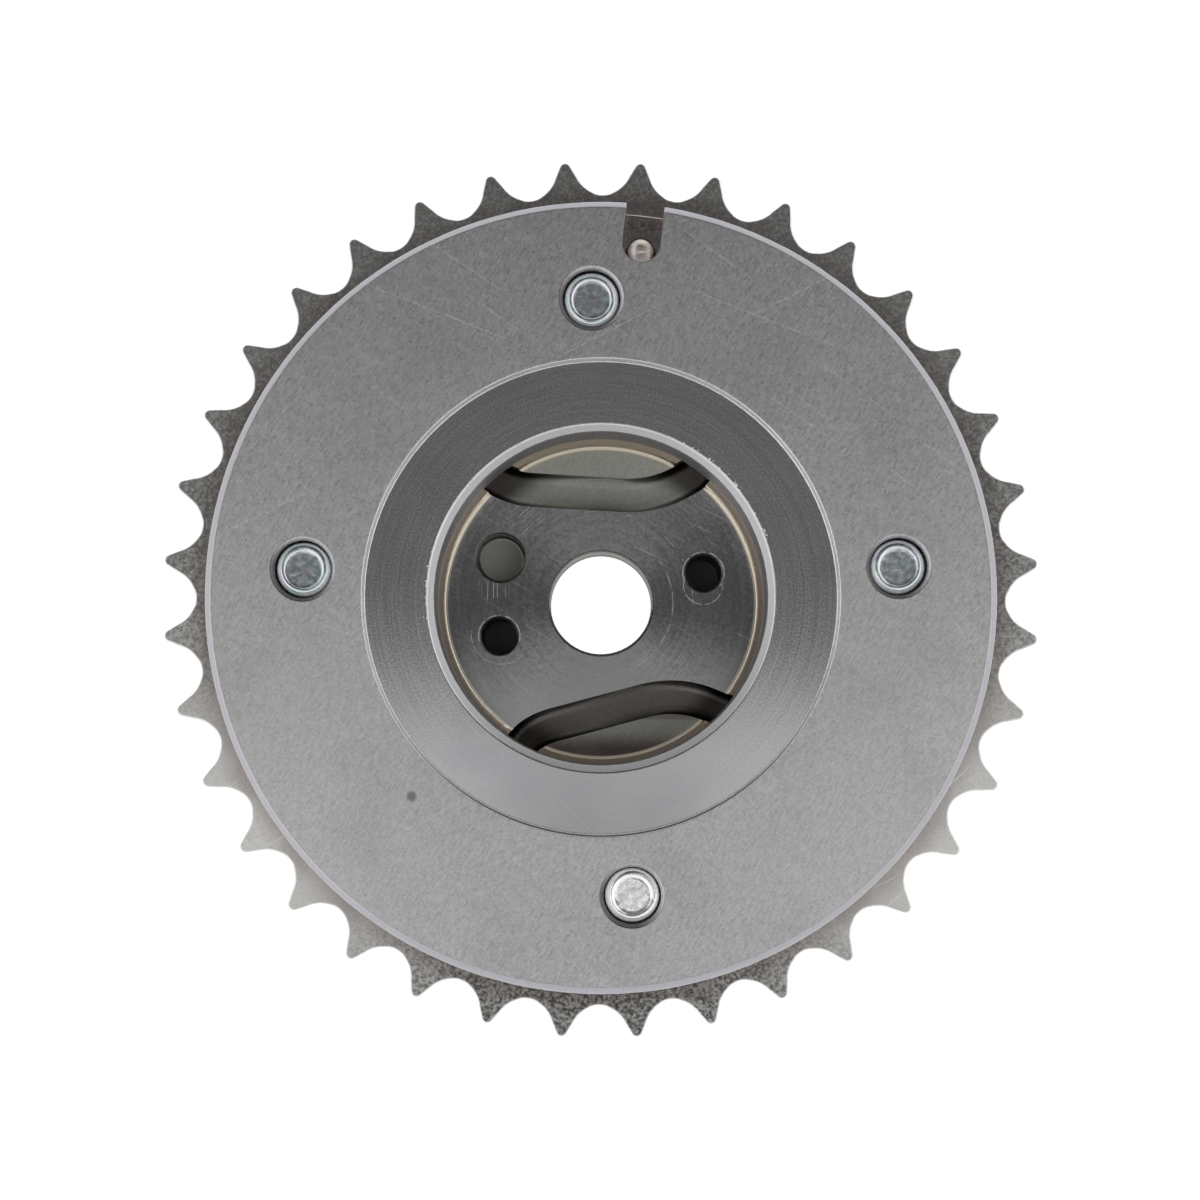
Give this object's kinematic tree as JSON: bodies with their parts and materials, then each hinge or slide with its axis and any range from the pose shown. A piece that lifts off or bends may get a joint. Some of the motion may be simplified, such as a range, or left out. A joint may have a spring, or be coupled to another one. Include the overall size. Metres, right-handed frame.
{
  "type": "cam phaser",
  "caption": "Chain-driven cam phaser: a toothed housing closed by two bolted plates round a vaned rotor that turns a few degrees and is held by a sprung lock pin.",
  "frame": {"origin": "on the axis of rotation, at the level of the bolt heads' outer faces", "axes": "+Z along the axis towards the camshaft side, +X to the right of the camshaft side as pictured"},
  "size_m": [0.0936, 0.0936, 0.031],
  "materials": {
    "plate_steel": "ground",
    "sintered_steel": "satin",
    "bolt_zinc": "zinc plated",
    "pin_steel": "ground",
    "rotor_steel": "machined",
    "spring_steel": "bright",
    "seal_polymer": "matte"
  },
  "bodies": {
    "housing": {"rear_plate": "plate_steel", "sprocket_housing": "sintered_steel", "front_plate": "plate_steel", "housing_bolts": "bolt_zinc", "locating_pin": "pin_steel", "lock_bush": "pin_steel", "shoe_seal_1": "seal_polymer", "shoe_seal_2": "seal_polymer", "shoe_seal_3": "seal_polymer", "shoe_seal_4": "seal_polymer", "shoe_seal_spring_1": "spring_steel", "shoe_seal_spring_2": "spring_steel", "shoe_seal_spring_3": "spring_steel", "shoe_seal_spring_4": "spring_steel"},
    "rotor_group": {"rotor": "rotor_steel", "spring_seat": "pin_steel", "lock_spring": "spring_steel", "vane_seal_1": "seal_polymer", "vane_seal_2": "seal_polymer", "vane_seal_3": "seal_polymer", "vane_seal_4": "seal_polymer", "vane_seal_spring_1": "spring_steel", "vane_seal_spring_2": "spring_steel", "vane_seal_spring_3": "spring_steel", "vane_seal_spring_4": "spring_steel"},
    "lock_pin_group": {"lock_pin": "pin_steel"}
  },
  "joints": [
    {"name": "rotor_phase", "type": "hinge", "parent": "housing", "child": "rotor_group", "pos_m": [0, 0, 0.016], "axis": [0, 0, 1], "range_deg": [0, 24]},
    {"name": "lock_pin_slide", "type": "slide", "parent": "rotor_group", "child": "lock_pin_group", "axis": [0, 0, -1], "range_m": [0, 0.0025], "stiffness_N_per_m": 400, "springref_m": -0.003, "deforming": ["lock_spring"]}
  ]
}
